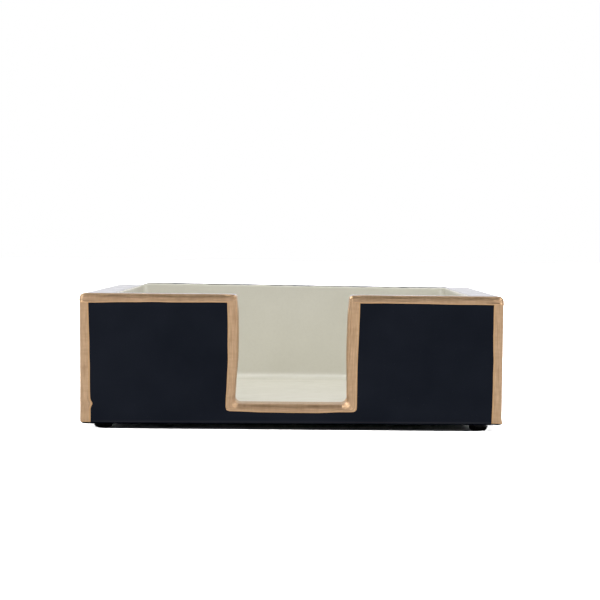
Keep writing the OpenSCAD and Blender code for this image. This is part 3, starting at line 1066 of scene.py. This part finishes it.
def flat_card(name, reach, height, material):
    mesh = bpy.data.meshes.new(name)
    corners = [(-reach, -reach), (reach, -reach), (reach, reach), (-reach, reach)]
    mesh.from_pydata([(x, y, height) for x, y in corners], [], [(0, 1, 2, 3)])
    mesh.materials.append(material)
    card = new_object(name, mesh)
    card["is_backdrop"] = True
    return card


def studio_floor():
    """A pale table. Its bounce comes from the world's lower half, so it only shows itself,
    and a dark card keeps that bounce away from under the object."""
    n = Nodes("studio_floor")
    tone = n.blend(n.even(n.noise(n.place(), 6.0, 3.0)), (0.86, 0.86, 0.86), (0.89, 0.89, 0.89))
    n.set(Base_Color=tone, Roughness=0.6, Specular_IOR_Level=0.0)
    floor = flat_card("studio_floor", 6.0, 0.0, n.material)
    floor.visible_glossy = False
    floor.visible_diffuse = False
    n = Nodes("shade_card")
    n.set(Base_Color=(0.001, 0.001, 0.001, 1.0), Roughness=0.9, Specular_IOR_Level=0.0)
    card = flat_card("shade_card", HALF + 1.5 * MM, -0.2 * MM, n.material)
    card.visible_camera = False
    return floor


def world_light():
    """White to the camera. As light it is bright low behind and beside the object, half as
    bright on the camera's side, dark overhead, and as bright below as a pale table."""
    world = bpy.data.worlds.new("studio")
    n = Nodes("studio", world)
    n.tree.nodes.clear()
    way = n.node("ShaderNodeTexCoord").outputs["Generated"]
    way = n.node("ShaderNodeSeparateXYZ", Vector=way).outputs
    behind = n.spread(way[1], -0.35, 0.60, 0.45, 1.30, "SMOOTHSTEP")
    low = n.spread(way[2], 0.30, 0.85, 1.0, 0.06, "SMOOTHSTEP")
    below = n.spread(way[2], -0.15, -0.55, 0.0, 1.40, "SMOOTHSTEP")
    strength = n.math("MAXIMUM", n.math("MULTIPLY", behind, low), below)
    lit = n.node("ShaderNodeBackground", Color=(0.97, 0.96, 1.0, 1.0), Strength=strength)
    seen = n.node("ShaderNodeBackground", Color=(1.0, 1.0, 1.0, 1.0))
    to_camera = n.node("ShaderNodeLightPath").outputs["Is Camera Ray"]
    pick = n.node("ShaderNodeMixShader", i0=to_camera, i1=lit.outputs[0], i2=seen.outputs[0])
    n.node("ShaderNodeOutputWorld", Surface=pick.outputs[0])
    bpy.context.scene.world = world


def area_light(name, place, width, height, watts):
    data = bpy.data.lights.new(name, "AREA")
    data.shape = "RECTANGLE"
    data.size, data.size_y = width, height
    data.energy = watts
    light = new_object(name, data)
    light.location = place
    aim = Vector((0, 0, 0.03)) - Vector(place)
    light.rotation_euler = aim.to_track_quat("-Z", "Y").to_euler()
    return light


def only_lights(light, things):
    """Links a light to these objects alone."""
    group = bpy.data.collections.new(f"lit_by_{light.name}")
    for thing in things:
        group.objects.link(thing)
    light.light_linking.receiver_collection = group
    return group


# The photograph's view: the camera's place, then its pitch down, yaw and roll in degrees
CAMERA_PLACE = (0.00367, -0.8523, 0.0719)
CAMERA_TURN = (1.674, 0.039, 0.499)
CAMERA_LENS = 122.99  # in millimetres, on a sensor 36 wide


def set_camera():
    data = bpy.data.cameras.new("camera")
    data.sensor_width = 36.0
    data.lens = CAMERA_LENS
    data.clip_start = 0.01
    camera = new_object("camera", data)
    pitch, yaw, roll = map(math.radians, CAMERA_TURN)
    turn = Matrix.Rotation(yaw, 4, "Z") @ Matrix.Rotation(math.pi / 2 - pitch, 4, "X")
    turn = turn @ Matrix.Rotation(roll, 4, "Z")
    camera.matrix_world = Matrix.Translation(CAMERA_PLACE) @ turn
    bpy.context.scene.camera = camera


floor = studio_floor()
world_light()
lacquered = [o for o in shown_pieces() if o not in gilding]
fills = [o for o in lacquered if o.name.startswith("corner_fill")]
only_lights(area_light("overhead", (0.0, -0.75, 1.2), 0.6, 0.6, 10.0), lacquered)
for name, place, size, watts in (
    ("high_rear", (0.0, 0.25, 1.4), 0.8, 10.0),
    ("high_left", (-1.1, -0.7, 0.9), 1.0, 5.0),
    ("high_right", (1.1, -0.7, 0.9), 1.0, 4.5),
):
    area_light(name, place, size, size, watts).visible_glossy = False
for name, way in (("key_left", -1), ("key_right", 1)):
    key = area_light(name, (way * 0.82, -0.95, 0.02), 1.6, 0.5, 1.86)
    key.light_linking.blocker_collection = only_lights(key, gilding)
    glint = area_light(f"glint_{name}", (way * 0.9, -0.8, 0.95), 0.25, 0.25, 7.5)
    glint.visible_diffuse = False
    strip = area_light(f"strip_{name}", (way * 1.0, -0.75, 0.3), 0.3, 0.6, 13.0)
    strip.visible_diffuse = False
    only_lights(strip, fills)
sheen = area_light("sheen", (0.0, 0.5, 1.2), 1.6, 1.6, 6.0)
sheen.visible_diffuse = False
only_lights(sheen, gilding)
for name, tilt, lean, strength in (
    ("table_front", 40, 0, 7.0),
    ("table_left", 0, -68, 8.0),
    ("table_right", 0, 68, 8.0),
):
    sun = new_object(name, bpy.data.lights.new(name, "SUN"))
    sun.data.energy = strength
    sun.data.angle = math.radians(20)
    sun.rotation_euler = (math.radians(tilt), math.radians(lean), 0)
    only_lights(sun, [floor])
set_camera()
bpy.context.scene.view_settings.view_transform = "Standard"
